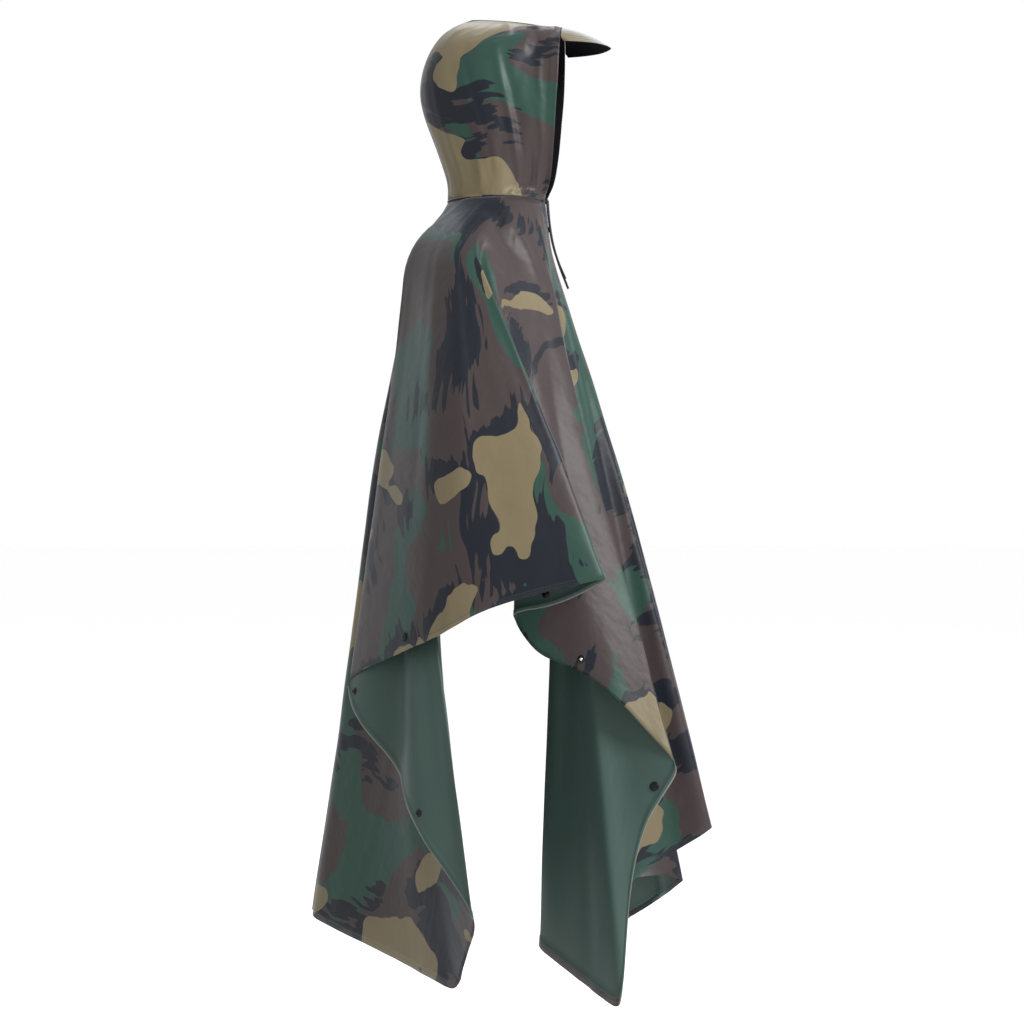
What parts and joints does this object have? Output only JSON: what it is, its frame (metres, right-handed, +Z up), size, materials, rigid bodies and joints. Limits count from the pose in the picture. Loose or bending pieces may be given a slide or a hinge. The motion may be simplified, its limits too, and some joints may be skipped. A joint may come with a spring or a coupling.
{
  "type": "rain poncho",
  "caption": "Hooded rain poncho of coated woodland camouflage cloth, worn and hanging in folds, with peak, drawstring and press-stud sides.",
  "frame": {"origin": "middle of the neck seam, where the poncho sits on the wearer's neck and shoulders", "axes": "+X the wearer's front, +Y the wearer's left, +Z up"},
  "size_m": [0.5912, 0.6989, 1.4291],
  "materials": {
    "poncho_cloth": "woodland camouflage outside, plain green coating inside, satin",
    "hood_near_cloth": "woodland camouflage outside, plain green coating inside, satin",
    "hood_far_cloth": "woodland camouflage outside, plain green coating inside, satin",
    "peak_cloth": "woodland camouflage on top, black below, satin",
    "cord_black": "black braided cord",
    "stud_metal": "dark plated press stud"
  },
  "bodies": {
    "root": {"body_panel": "poncho_cloth", "hood_near": "hood_near_cloth", "hood_far": "hood_far_cloth", "hood_peak": "peak_cloth", "drawstring_near": "cord_black", "drawstring_far": "cord_black", "stud_near_front_1": "stud_metal", "stud_near_front_2": "stud_metal", "stud_near_front_3": "stud_metal", "stud_near_back_1": "stud_metal", "stud_near_back_2": "stud_metal", "stud_near_back_3": "stud_metal", "stud_far_front_1": "stud_metal", "stud_far_front_2": "stud_metal", "stud_far_front_3": "stud_metal", "stud_far_back_1": "stud_metal", "stud_far_back_2": "stud_metal", "stud_far_back_3": "stud_metal", "stud_throat": "stud_metal"}
  },
  "joints": []
}
